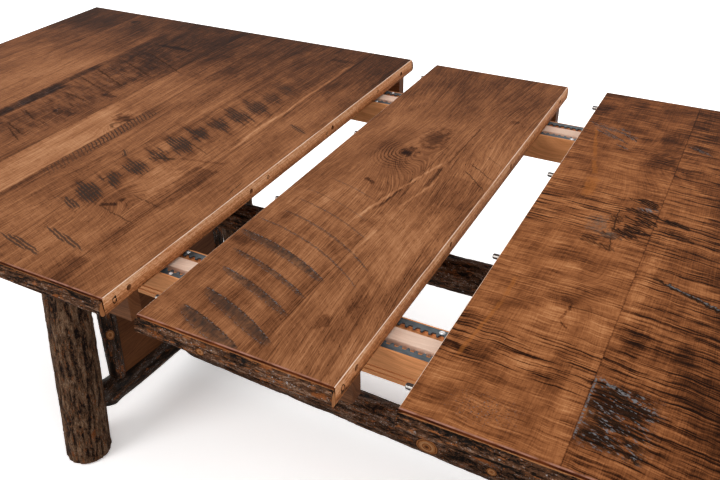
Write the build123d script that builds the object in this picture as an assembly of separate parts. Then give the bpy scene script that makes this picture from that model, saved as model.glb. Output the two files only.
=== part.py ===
from build123d import *

import math
import os

# Rustic hickory extension table, standing open with one leaf between its halves.
# Millimetres. The origin is on the floor under the middle of the table, +X runs
# along the table, +Y towards its back edge and +Z up.

# Top
table_height = 745
table_width = 1118
top_thickness = 31
arris_radius = 1.6
inner_edge = {-1: -242.5, 1: 246.5}  # where the left and the right half begin
outer_edge = 1313.5  # from the middle of the table to each half's outer edge
left_planks = [108, 185, 105, 101, 210, 180, 182]  # from the inner edge outwards
right_planks = [202, 300, 262, 303]

# Leaf
leaf_width = 331
leaf_middle_x = -7.5
leaf_shift_y = -3
leaf_drop = 1.5  # how far its face lies below the halves
leaf_planks = [200, 131]

# Bark edging
bark_height = 26
bark_thickness = 10
bark_foot = 5

# Aprons and the leaf's skirts
apron_outer_y = 511
apron_thickness = 25
apron_depth = 47
apron_end_inset = 45
skirt_inset = 3

# Alignment pins
pin_places_y = [-503, -166, 145, 495]
pin_drop = 16
pin_radius = 4.75
pin_reach = 15.5
pin_embed = 24.5
pin_hole_radius = 5.25
pin_hole_depth = 20

# Geared slides
slide_middle_y = 390.5
slide_top_drop = 37  # from the table's face down to the top of the rails
centre_rail_width = 28.6
centre_rail_depth = 62
centre_rail_reach = 737
outer_rail_near = 17.5  # from the slide's middle to a rail's inner face
outer_rail_far = 39.5
outer_rail_depth = 58
outer_rail_back = 760
outer_rail_front = 330
tongue_reach = 10.5
tongue_height = 12
tongue_drop = 24
groove_clearance = 0.5
bead_drops = [39, 48]
bead_radius = 1.6
centre_rail_arris = 2
outer_rail_arris = 0.8
packer_start = 300
packer_end = 740
packer_width = 16

# Racks and pinions
gear_module = 4
pinion_teeth = 12
rack_thickness = 3.2
rack_back = 36.5
rack_teeth_beyond = 22  # teeth past the pinion on the half's own side
rack_teeth = 46
addendum = 2.6
dedendum = 3.0
tooth_share = 0.42  # tooth thickness at the pitch line, as a share of the pitch
flank_angle = 20
tooth_rounding = 1.1
rack_arris = 0.35
shelf_drop = 7  # how far the rail under the teeth lies below the rail's top
pinion_thickness = 4.5
pinion_drop = 0.5
stud_radius = 5
stud_clearance = 0.05
stud_head_radius = 8
stud_head_height = 2
stud_depth = 42
pinion_float = 0.1  # gap under the pinion
rack_screw_pitch = 155.6
rack_screw_offset = 31.5
left_rack_screw = -230
right_rack_screw = -243
rack_screw_radius = 2.2
rack_screw_length = 18
rail_screw_places = [345, 520, 695]
rail_screw_radius = 2.4
rail_screw_head = 5
rail_screw_length = 50
rail_screw_bite = 20  # how far it reaches into the top

# Trestles
trestle_x = 662
bolster_top = 646
bolster_depth = 60
bolster_width = 95
bolster_reach = 440
bolster_chamfer = 18
leg_foot_y = 345
leg_lean = 69 / 700  # sideways run for each millimetre of height
leg_foot_radius = 52
leg_taper = 5.8 / 700
leg_tenon_radius = 22
leg_tenon_length = 35
glide_radius = 22
glide_height = 6
glide_proud = 1.5
stretcher_z_places = {-1: (107, 87.5, 87), 1: (79, 77, 98)}  # at its front, middle and back, by trestle
stretcher_radius = 32
stretcher_round_reach = 250
stretcher_tenon_radius = 18
stretcher_neck = 40
stretcher_tenon_length = 36
upper_rail_z = 545
upper_rail_radius = 28
upper_rail_reach = 280
post_foot_y = 214
post_head_y = 203
post_foot_radius = 19.5
post_head_radius = 23.5
post_shoulder = 10
post_tenon_length = 20
panel_thickness = 22
panel_reach = 204
panel_bite = 20  # how far its edges reach into the stretcher and the upper rail
tenon_radius = 14
pole_tenon_radius = 16

# Long poles between the trestles: offset in Y, height and radius at each end
low_pole = [(11.7, 88.2, 37.9), (-11.7, 75.3, 43.2)]
high_pole = [(-9.4, 536.4, 32.9), (9.4, 554.2, 35.9)]

top_z = table_height
under_z = table_height - top_thickness
rail_top_z = table_height - slide_top_drop
pin_z = table_height - pin_drop
bolster_under_z = bolster_top - bolster_depth
rack_pitch = gear_module * math.pi
pinion_radius = gear_module * pinion_teeth / 2
pinion_low_z = rail_top_z - pinion_drop - pinion_thickness
rack_first_x = -rack_teeth_beyond * rack_pitch
rack_last_x = rack_first_x + rack_teeth * rack_pitch
shelf_z = rail_top_z - shelf_drop

parts = {}


def block(x0, x1, y0, y1, z0, z1):
    middle = ((x0 + x1) / 2, (y0 + y1) / 2, (z0 + z1) / 2)
    return Pos(*middle) * Box(abs(x1 - x0), abs(y1 - y0), abs(z1 - z0))


def rod(start, end, radius):
    start, end = Vector(*start), Vector(*end)
    along = end - start
    return extrude(Plane(origin=start, z_dir=along.normalized()) * Circle(radius), along.length)


def frustum(start, end, radius_start, radius_end):
    """Round solid between two points, square to the line that joins them."""
    along = (end - start).normalized()
    foot = Plane(origin=start, z_dir=along) * Circle(radius_start)
    head = Plane(origin=end, z_dir=along) * Circle(radius_end)
    return loft([foot, head])


def keep(name, shapes):
    parts[name] = [solid for shape in shapes for solid in shape.solids()]


def shouldered_pole(start, end, radius_start, radius_end, shoulder, tenon, tenon_length):
    """Pole that narrows to a round tenon at both ends. start and end are the tenon tips."""
    start, end = Vector(*start), Vector(*end)
    along = (end - start).normalized()
    neck_start = start + along * tenon_length
    neck_end = end - along * tenon_length
    body_start = neck_start + along * shoulder
    body_end = neck_end - along * shoulder
    pole = frustum(body_start, body_end, radius_start, radius_end)
    pole += frustum(neck_start, body_start, tenon, radius_start)
    pole += frustum(body_end, neck_end, radius_end, tenon)
    pole += rod(start, neck_start, tenon)
    pole += rod(neck_end, end, tenon)
    return pole


# Tops: one slab for each, cut into its planks


def plank_solids(x_inner, direction, widths, shift_y, face_z, cuts):
    """Planks side by side from x_inner, in the direction given, with holes cut."""
    reach = sum(widths)
    half = table_width / 2
    slab = block(x_inner, x_inner + direction * reach, shift_y - half, shift_y + half,
                 face_z - top_thickness, face_z)
    slab = fillet(slab.faces().sort_by(Axis.Z)[-1].edges(), arris_radius)
    for cut in cuts:
        slab -= cut
    planks = []
    edge = x_inner
    for width in widths:
        far = edge + direction * width
        planks.append(slab & block(edge, far, -table_width, table_width, 0, 2 * table_height))
        edge = far
    return planks


def pin_holes(x_face, into, radius, depth):
    return [rod((x_face, y, pin_z), (x_face + into * depth, y, pin_z), radius)
            for y in pin_places_y]


def pins(x_face, outward):
    """Steel pins with domed noses, standing out of an edge."""
    made = []
    for y in pin_places_y:
        tail = (x_face - outward * pin_embed, y, pin_z)
        nose = (x_face + outward * pin_reach, y, pin_z)
        pin = rod(tail, nose, pin_radius)
        edges = pin.edges().sort_by(Axis.X)
        made.append(fillet(edges[-1] if outward > 0 else edges[0], pin_radius * 0.6))
    return made


def bark_profile(plane):
    """Bowed section of the edging: local X is outwards, local Y is up, from its top inner corner."""
    top = (0, 0)
    belly = (bark_thickness, -bark_height * 0.46)
    foot = (bark_foot, -bark_height)
    outline = ThreePointArc(top, belly, foot) + Polyline([foot, (0, -bark_height), top])
    return plane * make_face(outline)


def side_bark(x0, x1, y_face, outward, bottom_z):
    start = Plane(origin=(x0, y_face, bottom_z + bark_height),
                  x_dir=(0, outward, 0), z_dir=(outward, 0, 0))
    return extrude(bark_profile(start), (x1 - x0) * outward)


def end_bark(x_face, outward, bottom_z):
    half = table_width / 2
    start = Plane(origin=(x_face, half * outward, bottom_z + bark_height),
                  x_dir=(outward, 0, 0), z_dir=(0, -outward, 0))
    return extrude(bark_profile(start), table_width)


# Slides


def rack_blank():
    """The left half's rack with its teeth towards +Y and its pitch line on Y = 0."""
    lean = math.tan(math.radians(flank_angle))
    half_pitch_line = tooth_share * rack_pitch / 2
    tip = half_pitch_line - addendum * lean
    root = half_pitch_line + dedendum * lean
    bar = rack_back - pinion_radius
    points = [(rack_first_x, -dedendum)]
    for n in range(rack_teeth):
        middle = rack_first_x + (n + 0.5) * rack_pitch
        points += [(middle - root, -dedendum), (middle - tip, addendum),
                   (middle + tip, addendum), (middle + root, -dedendum)]
    points += [(rack_last_x, -dedendum), (rack_last_x, -bar), (rack_first_x, -bar)]
    plan = make_face(Polyline(*points, close=True))
    shoulders = plan.vertices().filter_by(lambda corner: corner.Y > -bar / 2)
    plan = fillet(shoulders.sort_by(Axis.X)[1:-1], tooth_rounding)
    plate = extrude(plan, rack_thickness)
    return chamfer(plate.faces().sort_by(Axis.Z)[-1].edges(), rack_arris)


def rack_span(body_side):
    """Where a half's racks start and end along the table."""
    return (rack_first_x, rack_last_x) if body_side < 0 else (-rack_last_x, -rack_first_x)


def rack(blank, body_side, row_side, slide_side):
    """Rack of one half. slide_side is the slide, row_side the rail's side of that slide."""
    if body_side > 0:
        blank = mirror(blank, about=Plane.YZ)
    if slide_side * row_side > 0:
        blank = mirror(blank, about=Plane.XZ)
    pitch_line_y = slide_side * (slide_middle_y + row_side * pinion_radius)
    return Pos(0, pitch_line_y, rail_top_z - rack_thickness) * blank


def rack_screws(body_side, row_side, slide_side):
    """Countersunk screws that hold a rack down in its rail."""
    first = left_rack_screw if body_side < 0 else right_rack_screw
    y = slide_side * (slide_middle_y + row_side * rack_screw_offset)
    radius = rack_screw_radius
    made = []
    for n in range(4):
        head = Vector(first + n * rack_screw_pitch, y, rail_top_z)
        neck = head - Vector(0, 0, radius)
        tip = head - Vector(0, 0, rack_screw_length)
        made.append(frustum(head, neck, 2 * radius, radius) + rod(neck, tip, radius))
    return made


def rail_screws(body_side, middle_y):
    """Screws up through a rail and its packer into the top."""
    made = []
    for place in rail_screw_places:
        tip = Vector(body_side * place, middle_y, under_z + rail_screw_bite)
        head = tip - Vector(0, 0, rail_screw_length)
        shoulder = head + Vector(0, 0, 3)
        made.append(rod(head, shoulder, rail_screw_head) + rod(shoulder, tip, rail_screw_radius))
    return made


def screw_wells(screws):
    """Counterbores below the heads of a rail's screws."""
    wells = []
    for screw in screws:
        head = screw.faces().sort_by(Axis.Z)[0].center()
        below = head - Vector(0, 0, outer_rail_depth)
        wells.append(rod(below, head + Vector(0, 0, 3), rail_screw_head + 0.5))
    return wells


def outer_rail(body_side, row_side, slide_side):
    """Moulded rail with a tongue that runs in the centre rail's groove."""
    inner_y = outer_rail_near
    x0, x1 = (-outer_rail_back, outer_rail_front)
    if body_side > 0:
        x0, x1 = (-outer_rail_front, outer_rail_back)
    low_z = rail_top_z - outer_rail_depth
    tongue_z = rail_top_z - tongue_drop - tongue_height
    rail = block(x0, x1, inner_y, outer_rail_far, low_z, rail_top_z)
    outer_edges = rail.edges().filter_by(Axis.X).group_by(Axis.Y)[-1]
    rail = fillet(outer_edges, outer_rail_arris)
    rail += block(x0, x1, tongue_reach, inner_y, tongue_z, tongue_z + tongue_height)
    first_x, last_x = rack_span(body_side)
    rail -= block(first_x, last_x, 0, rack_back, rail_top_z - rack_thickness, rail_top_z + 1)
    root = pinion_radius + dedendum
    rail -= block(first_x, last_x, 0, root, shelf_z, rail_top_z + 1)
    if row_side > 0:
        for drop in bead_drops:
            z = rail_top_z - drop
            rail -= rod((x0, outer_rail_far, z), (x1, outer_rail_far, z), bead_radius)
    if row_side < 0:
        rail = mirror(rail, about=Plane.XZ)
    rail = Pos(0, slide_middle_y, 0) * rail
    return rail if slide_side > 0 else mirror(rail, about=Plane.XZ)


def pinion(slide_side):
    """Twelve-tooth pinion with straight stub teeth and a recess for the stud's head."""
    tip_radius = pinion_radius + addendum
    root_radius = pinion_radius - dedendum - 0.2
    gear = extrude(Circle(root_radius), pinion_thickness)
    half_root = tooth_share * rack_pitch / 2 + 0.3
    half_pitch = tooth_share * rack_pitch / 2
    half_tip = half_pitch - addendum * math.tan(math.radians(flank_angle)) - 0.25
    tooth = Polyline((root_radius - 1.5, -half_root), (pinion_radius, -half_pitch),
                     (tip_radius, -half_tip), (tip_radius, half_tip),
                     (pinion_radius, half_pitch), (root_radius - 1.5, half_root), close=True)
    tooth_solid = extrude(make_face(tooth), pinion_thickness)
    for n in range(pinion_teeth):
        gear += Rot(0, 0, n * 360 / pinion_teeth) * tooth_solid
    gear -= Cylinder(stud_radius + stud_clearance, 4 * pinion_thickness)
    recess = Cylinder(stud_head_radius + 0.4, 2 * stud_head_height + 0.6)
    gear -= Pos(0, 0, pinion_thickness) * recess
    return Pos(0, slide_side * slide_middle_y, pinion_low_z) * gear


def pinion_stud(slide_side):
    y = slide_side * slide_middle_y
    head_z = rail_top_z - pinion_drop
    shank = rod((0, y, rail_top_z - stud_depth), (0, y, head_z - stud_head_height), stud_radius)
    return shank + rod((0, y, head_z - stud_head_height), (0, y, head_z), stud_head_radius)


def centre_rail(slide_side, stud, screws):
    half = centre_rail_width / 2
    groove = half - tongue_reach + groove_clearance
    low_z = rail_top_z - tongue_drop - tongue_height - groove_clearance
    high_z = rail_top_z - tongue_drop + groove_clearance
    reach = centre_rail_reach
    rail = block(-reach, reach, -half, half, rail_top_z - centre_rail_depth, rail_top_z)
    rail = fillet(rail.edges().filter_by(Axis.X).group_by(Axis.Z)[-1], centre_rail_arris)
    for side in (-1, 1):
        rail -= block(-reach - 1, reach + 1, side * (half - groove), side * (half + 1), low_z, high_z)
    pocket_depth = rail_top_z - pinion_low_z + pinion_float
    rail -= Pos(0, 0, rail_top_z) * Cylinder(pinion_radius + addendum + 2, 2 * pocket_depth)
    rail = Pos(0, slide_side * slide_middle_y, 0) * rail
    for cut in [stud] + screws:
        rail -= cut
    return rail


# Trestles, made at +X and mirrored to the other end


def leg_y(z):
    return leg_foot_y - leg_lean * z


def leg_radius(z):
    return leg_foot_radius - leg_taper * z


def leg(side_x, side_y):
    x = side_x * trestle_x
    foot = Plane(origin=(x, side_y * leg_y(glide_proud), glide_proud)) * Circle(leg_foot_radius)
    head_radius = leg_radius(bolster_under_z)
    head_y = side_y * leg_y(bolster_under_z)
    head = Plane(origin=(x, head_y, bolster_under_z)) * Circle(head_radius)
    tenon = rod((x, head_y, bolster_under_z), (x, head_y, bolster_under_z + leg_tenon_length),
                leg_tenon_radius)
    return loft([foot, head]) + tenon


def glide(side_x, side_y):
    x, y = side_x * trestle_x, side_y * leg_foot_y
    return rod((x, y, 0), (x, y, glide_height), glide_radius)


def stretcher_z(side_x, y):
    """Height of a bowed stretcher's middle line."""
    front, middle, back = stretcher_z_places[side_x]
    share = y / stretcher_round_reach
    return middle + (back - front) / 2 * share + ((front + back) / 2 - middle) * share ** 2


def stretcher(side_x):
    """Bowed pole from leg to leg, with shoulders and round tenons."""
    x = side_x * trestle_x
    front_z, middle_z, back_z = stretcher_z_places[side_x]
    path = ThreePointArc((x, -stretcher_round_reach, front_z), (x, 0, middle_z),
                         (x, stretcher_round_reach, back_z))
    pole = sweep(Plane(origin=path @ 0, z_dir=path % 0) * Circle(stretcher_radius), path=path)
    for place, heading in ((path @ 0, (path % 0) * -1), (path @ 1, path % 1)):
        neck = place + heading * stretcher_neck
        pole += frustum(place, neck, stretcher_radius, stretcher_tenon_radius)
        pole += rod(neck, neck + heading * stretcher_tenon_length, stretcher_tenon_radius)
    return pole


def upper_rail(side_x):
    x = side_x * trestle_x
    return shouldered_pole((x, -upper_rail_reach, upper_rail_z), (x, upper_rail_reach, upper_rail_z),
                           upper_rail_radius, upper_rail_radius, 16, pole_tenon_radius, 37)


def post(side_x, side_y):
    x = side_x * trestle_x
    socket = post_tenon_length + 2
    foot_y = side_y * post_foot_y
    foot = (x, foot_y, stretcher_z(side_x, foot_y) + stretcher_radius - socket)
    head = (x, side_y * post_head_y, upper_rail_z - upper_rail_radius + socket)
    return shouldered_pole(foot, head, post_foot_radius, post_head_radius, post_shoulder,
                           tenon_radius, post_tenon_length)


def long_pole(ends, tip_inset):
    """Pole along the table, its ends given as offset in Y, height and radius."""
    (y0, z0, r0), (y1, z1, r1) = ends
    reach = trestle_x - tip_inset
    return shouldered_pole((-reach, y0, z0), (reach, y1, z1), r0, r1, 42, pole_tenon_radius, 20)


def panel(side_x, cuts):
    x = side_x * trestle_x
    half = panel_thickness / 2
    low_z = stretcher_z(side_x, 0) + stretcher_radius - panel_bite
    board = block(x - half, x + half, -panel_reach, panel_reach, low_z,
                  upper_rail_z - upper_rail_radius + panel_bite)
    for cut in cuts:
        board -= cut
    return board


def bolster_screw(side_x, side_y):
    x, y = side_x * trestle_x, side_y * slide_middle_y
    head_z = bolster_under_z + 6
    screw = rod((x, y, head_z), (x, y, head_z + 6), 7.5)
    return screw + rod((x, y, head_z + 6), (x, y, rail_top_z - 18), 3.2)


def bolster(side_x, cuts):
    x = side_x * trestle_x
    beam = block(x - bolster_width / 2, x + bolster_width / 2, -bolster_reach, bolster_reach,
                 bolster_under_z, bolster_top)
    low_ends = beam.edges().filter_by(Axis.X).group_by(Axis.Z)[0]
    beam = chamfer(low_ends, bolster_chamfer)
    for side_y in (-1, 1):
        y = side_y * slide_middle_y
        beam -= rod((x, y, bolster_under_z - 1), (x, y, bolster_under_z + 6), 9)
    for cut in cuts:
        beam -= cut
    return beam


def make_trestles():
    low = long_pole(low_pole, 12)
    high = long_pole(high_pole, 14)
    keep("long_pole_low", [low])
    keep("long_pole_high", [high])
    glides = []
    screws = []
    for side_x, end in ((-1, "left"), (1, "right")):
        cross = stretcher(side_x)
        rail = upper_rail(side_x)
        posts = {side_y: post(side_x, side_y) for side_y in (-1, 1)}
        legs = {side_y: leg(side_x, side_y) for side_y in (-1, 1)}
        end_screws = [bolster_screw(side_x, side_y) for side_y in (-1, 1)]
        keep("bolster_" + end, [bolster(side_x, list(legs.values()) + end_screws)])
        keep("panel_" + end, [panel(side_x, [cross, rail] + list(posts.values()))])
        for side_y, where in ((-1, "front"), (1, "back")):
            shaped = legs[side_y] - cross - rail - glide(side_x, side_y)
            keep("leg_" + where + "_" + end, [shaped])
            keep("post_" + where + "_" + end, [posts[side_y]])
            glides.append(glide(side_x, side_y))
        for side_y in (-1, 1):
            cross -= posts[side_y]
            rail -= posts[side_y]
        keep("stretcher_" + end, [cross - low])
        keep("upper_rail_" + end, [rail - high])
        screws += end_screws
    keep("leg_glides", glides)
    keep("bolster_screws", screws)
    for slide_side, where in ((-1, "front"), (1, "back")):
        near = [screw for screw in screws if screw.center().Y * slide_side > 0]
        stud = pinion_stud(slide_side)
        keep("centre_rail_" + where, [centre_rail(slide_side, stud, near)])
        keep("pinion_" + where, [pinion(slide_side)])
    keep("pinion_studs", [pinion_stud(-1), pinion_stud(1)])


def make_slide_rails(body_side, name, blank):
    """The two rails that one half rides on, with their racks. Returns all their screws."""
    row_side = -body_side
    packers = []
    all_screws = []
    for slide_side, where in ((-1, "front"), (1, "back")):
        offset = row_side * (outer_rail_near + outer_rail_far) / 2
        middle_y = slide_side * (slide_middle_y + offset)
        short_screws = rack_screws(body_side, row_side, slide_side)
        long_screws = rail_screws(body_side, middle_y)
        plate = rack(blank, body_side, row_side, slide_side)
        rail = outer_rail(body_side, row_side, slide_side)
        packer = block(body_side * packer_start, body_side * packer_end,
                       middle_y - packer_width / 2, middle_y + packer_width / 2,
                       rail_top_z, under_z)
        for screw in short_screws:
            plate -= screw
            rail -= screw
        for cut in long_screws + screw_wells(long_screws):
            rail -= cut
        for screw in long_screws:
            packer -= screw
        keep(name + "_rack_" + where, [plate])
        keep(name + "_rail_" + where, [rail])
        packers.append(packer)
        all_screws += short_screws + long_screws
    keep(name + "_rail_packers", packers)
    return all_screws


def make_half(body_side, name, widths, blank):
    """One half of the top with its edging, aprons, rails and racks."""
    inner_x = inner_edge[body_side]
    outer_x = body_side * outer_edge
    half = table_width / 2
    if body_side < 0:
        cuts = pin_holes(inner_x, body_side, pin_hole_radius, pin_hole_depth)
    else:
        cuts = pin_holes(inner_x, body_side, pin_radius, pin_embed)
        keep(name + "_pins", pins(inner_x, -body_side))
    screws = make_slide_rails(body_side, name, blank)
    keep(name + "_screws", screws)
    long_screws = [screw for screw in screws if screw.bounding_box().max.Z > under_z]
    cuts += long_screws
    keep(name + "_planks", plank_solids(inner_x, body_side, widths, 0, top_z, cuts))
    x0, x1 = sorted((inner_x, outer_x))
    keep(name + "_bark_front", [side_bark(x0, x1, -half, -1, under_z)])
    keep(name + "_bark_back", [side_bark(x0, x1, half, 1, under_z)])
    keep(name + "_bark_end", [end_bark(outer_x, body_side, under_z)])
    apron_low = under_z - apron_depth
    apron_inner_y = apron_outer_y - apron_thickness
    apron_outer_x = outer_x - body_side * apron_end_inset
    apron_inner_x = apron_outer_x - body_side * apron_thickness
    for side_y, where in ((-1, "front"), (1, "back")):
        board = block(inner_x, apron_outer_x, side_y * apron_inner_y, side_y * apron_outer_y,
                      apron_low, under_z)
        keep(name + "_apron_" + where, [board])
    keep(name + "_apron_end", [block(apron_inner_x, apron_outer_x, -apron_inner_y, apron_inner_y,
                                     apron_low, under_z)])


def make_leaf():
    face_z = top_z - leaf_drop
    low_z = face_z - top_thickness
    left_x = leaf_middle_x - leaf_width / 2
    right_x = leaf_middle_x + leaf_width / 2
    half = table_width / 2
    cuts = pin_holes(right_x, -1, pin_hole_radius, pin_hole_depth)
    cuts += pin_holes(left_x, 1, pin_radius, pin_embed)
    keep("leaf_planks", plank_solids(left_x, 1, leaf_planks, leaf_shift_y, face_z, cuts))
    keep("leaf_pins", pins(left_x, -1))
    keep("leaf_bark_front", [side_bark(left_x, right_x, leaf_shift_y - half, -1, low_z)])
    keep("leaf_bark_back", [side_bark(left_x, right_x, leaf_shift_y + half, 1, low_z)])
    cleats = []
    cleat_half = centre_rail_width / 2 - 3
    for side_y, where in ((-1, "front"), (1, "back")):
        inner_y = side_y * (apron_outer_y - apron_thickness)
        keep("leaf_skirt_" + where, [block(left_x + skirt_inset, right_x - skirt_inset, inner_y,
                                           side_y * apron_outer_y, under_z - apron_depth, low_z)])
        y = side_y * slide_middle_y
        cleats.append(block(left_x + 15, right_x - 15, y - cleat_half, y + cleat_half,
                            rail_top_z, low_z))
    keep("leaf_cleats", cleats)


make_trestles()
plain_rack = rack_blank()
make_half(-1, "left_top", left_planks, plain_rack)
make_half(1, "right_top", right_planks, plain_rack)
make_leaf()

os.makedirs("parts", exist_ok=True)
for name, solids in parts.items():
    shape = solids[0] if len(solids) == 1 else Compound(children=solids)
    export_step(shape, "parts/" + name + ".step")
print(len(parts), "parts")
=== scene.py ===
import math
import random

import bmesh
import bpy
from mathutils import Matrix, Vector, noise


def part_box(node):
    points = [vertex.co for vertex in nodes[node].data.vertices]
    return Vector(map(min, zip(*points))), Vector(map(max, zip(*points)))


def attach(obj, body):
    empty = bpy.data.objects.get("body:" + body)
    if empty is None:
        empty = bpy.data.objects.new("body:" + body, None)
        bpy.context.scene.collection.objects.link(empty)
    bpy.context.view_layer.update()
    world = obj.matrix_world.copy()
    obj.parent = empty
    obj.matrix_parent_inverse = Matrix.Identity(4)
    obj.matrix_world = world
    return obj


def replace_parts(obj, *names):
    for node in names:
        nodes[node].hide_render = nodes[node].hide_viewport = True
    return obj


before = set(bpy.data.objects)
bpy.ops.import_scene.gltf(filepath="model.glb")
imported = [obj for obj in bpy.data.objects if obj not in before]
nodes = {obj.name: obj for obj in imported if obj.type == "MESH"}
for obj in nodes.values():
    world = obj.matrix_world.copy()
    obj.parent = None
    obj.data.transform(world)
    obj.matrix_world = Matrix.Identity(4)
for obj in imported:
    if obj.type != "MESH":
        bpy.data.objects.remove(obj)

# Dresses the log trestle table: bark with real relief on the poles, legs and edging,
# stained and sawn planks, maple slides and steel racks. Lengths are in millimetres, in
# the table's own frame, until a mesh is scaled by MM to metres.

MM = 0.001
UP = Vector((0, 0, 1))
HALF_WIDTH = 559        # of the planks, from the middle to where the edging starts
TOP, LEAF_TOP = 745, 743.5
LEFT_INNER, RIGHT_INNER, OUTER = -242.5, 246.5, 1313.5
LEAF_LEFT, LEAF_RIGHT = -173, 158
TRESTLE_X = 662
ENDS = ((-1, "left"), (1, "right"))
FACES = ((-1, "front"), (1, "back"))
LEAF_SHIFT = -3         # of the leaf, towards the front
EDGING_DROP = 5         # of the edging's top, below the face
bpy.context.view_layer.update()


# ---------------- materials as formulas


class Field:
    """A number that varies over a surface. Arithmetic on it adds Math nodes to its material."""

    def __init__(self, tree, socket):
        self.tree = tree
        self.socket = socket

    def math(self, operation, *others, clamp=False):
        step = self.tree.nodes.new("ShaderNodeMath")
        step.operation = operation
        step.use_clamp = clamp
        for slot, value in zip(step.inputs, (self,) + others):
            feed(self.tree, slot, value)
        return Field(self.tree, step.outputs[0])

    def __add__(self, other):
        return self.math("ADD", other)

    def __sub__(self, other):
        return self.math("SUBTRACT", other)

    def __rsub__(self, other):
        return self.math("MULTIPLY_ADD", -1, other)

    def __mul__(self, other):
        return self.math("MULTIPLY", other)

    def __truediv__(self, other):
        return self.math("DIVIDE", other)

    def __pow__(self, other):
        return self.math("POWER", other)

    __radd__ = __add__
    __rmul__ = __mul__

    def most(self, other):
        return self.math("MAXIMUM", other)

    def size(self):
        return self.math("ABSOLUTE")

    def clamped(self):
        return self.math("ADD", 0, clamp=True)

    def smooth(self, low, high):
        """0 at low, 1 at high, with soft ends. low may be the larger."""
        step = self.tree.nodes.new("ShaderNodeMapRange")
        step.interpolation_type = "SMOOTHSTEP"
        feed(self.tree, step.inputs["Value"], self)
        step.inputs["From Min"].default_value = low
        step.inputs["From Max"].default_value = high
        return Field(self.tree, step.outputs["Result"])

    def between(self, low, high, soft):
        """1 from low to high, fading out over soft at both ends."""
        return self.smooth(low - soft, low + soft) * self.smooth(high + soft, high - soft)


def feed(tree, slot, value):
    """Gives a socket a field, another socket or a plain value."""
    if isinstance(value, Field):
        tree.links.new(value.socket, slot)
    elif isinstance(value, bpy.types.NodeSocket):
        tree.links.new(value, slot)
    elif slot.type == "RGBA" and len(value) == 3:
        slot.default_value = (*value, 1)
    else:
        slot.default_value = value


def add_node(tree, kind, *values, **settings):
    """A new node with its first inputs filled and its settings set."""
    made = tree.nodes.new(kind)
    for word, value in settings.items():
        setattr(made, word, value)
    for slot, value in zip(made.inputs, values):
        feed(tree, slot, value)
    return made


class Finish:
    """A material in the making. x, y and z are places on the object, in millimetres."""

    def __init__(self, name, **shader):
        self.material = bpy.data.materials.new(name)
        self.material.use_nodes = True
        self.tree = self.material.node_tree
        self.shader = self.tree.nodes["Principled BSDF"]
        for word, value in shader.items():
            socket = word.replace("_", " ").title().replace("Ior", "IOR")
            self.shader.inputs[socket].default_value = value
        place = self.step("ShaderNodeTexCoord").outputs["Object"]
        axes = self.step("ShaderNodeSeparateXYZ", place)
        self.x, self.y, self.z = [Field(self.tree, out) * 1000 for out in axes.outputs]

    def step(self, kind, *values, **settings):
        return add_node(self.tree, kind, *values, **settings)

    def vector(self, x, y, z=0.0):
        return self.step("ShaderNodeCombineXYZ", x, y, z).outputs[0]

    def noise(self, x, y, z=0.0, detail=2, roughness=0.5):
        """Soft noise about 0, mostly within half a unit either way."""
        made = self.step("ShaderNodeTexNoise", self.vector(x, y, z))
        made.inputs["Scale"].default_value = 1
        made.inputs["Detail"].default_value = detail
        made.inputs["Roughness"].default_value = roughness
        return Field(self.tree, made.outputs[0]).math("MULTIPLY_ADD", 2, -1)

    def chance(self, number):
        """Soft noise along one number."""
        made = self.step("ShaderNodeTexNoise", noise_dimensions="1D")
        feed(self.tree, made.inputs["W"], number)
        made.inputs["Scale"].default_value = 1
        made.inputs["Detail"].default_value = 0
        return Field(self.tree, made.outputs[0]).math("MULTIPLY_ADD", 2, -1)

    def ramp(self, value, stops):
        """Colours along a field, given as (place, colour) pairs."""
        made = self.step("ShaderNodeValToRGB", value)
        ramp = made.color_ramp
        while len(ramp.elements) < len(stops):
            ramp.elements.new(1)
        for element, (place, colour) in zip(ramp.elements, stops):
            element.position = place
            element.color = (*colour, 1)
        return made.outputs["Color"]

    def blend(self, under, over, share, mode="MIX"):
        made = self.tree.nodes.new("ShaderNodeMix")
        made.data_type = "RGBA"
        made.blend_type = mode
        feed(self.tree, made.inputs["Factor"], share)
        feed(self.tree, made.inputs[6], under)
        feed(self.tree, made.inputs[7], over)
        return made.outputs[2]

    def attribute(self, name):
        """The three channels of a mesh's own colour attribute."""
        made = self.step("ShaderNodeAttribute", attribute_name=name)
        parts = self.step("ShaderNodeSeparateColor", made.outputs["Color"])
        return [Field(self.tree, out) for out in parts.outputs]

    def finish(self, colour, roughness, height, depth=1.0):
        """Connects the colour, roughness and relief, whose height is in millimetres."""
        feed(self.tree, self.shader.inputs["Base Color"], colour)
        feed(self.tree, self.shader.inputs["Roughness"], roughness)
        bump = self.step("ShaderNodeBump")
        bump.inputs["Strength"].default_value = depth
        bump.inputs["Distance"].default_value = MM
        feed(self.tree, bump.inputs["Height"], height)
        feed(self.tree, self.shader.inputs["Normal"], bump.outputs["Normal"])
        return self.material


# ---------------- stained planks


STAIN = [(0.0, (0.012, 0.004, 0.002)), (0.16, (0.030, 0.010, 0.004)), (0.32, (0.085, 0.029, 0.011)),
         (0.5, (0.190, 0.069, 0.027)), (0.68, (0.320, 0.128, 0.053)), (0.84, (0.430, 0.190, 0.085)),
         (1.0, (0.540, 0.270, 0.135))]
REDDER_STAIN = [(place, (r, g * 0.90, b * 0.76)) for place, (r, g, b) in STAIN]
SAW_GREY = (0.046, 0.030, 0.023)
SAW_DARK = (0.030, 0.013, 0.007)
# painted glints: pale flecks that stand in for small reflections on the sawn and torn wood
PAINTED_GLINT = (0.17, 0.165, 0.17)
CRACK = (0.010, 0.006, 0.004)
# painted sheen: pale grey patches that stand in for a soft reflection
PAINTED_SHEEN = (0.13, 0.105, 0.085)
SAP = (0.40, 0.130, 0.028)


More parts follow.
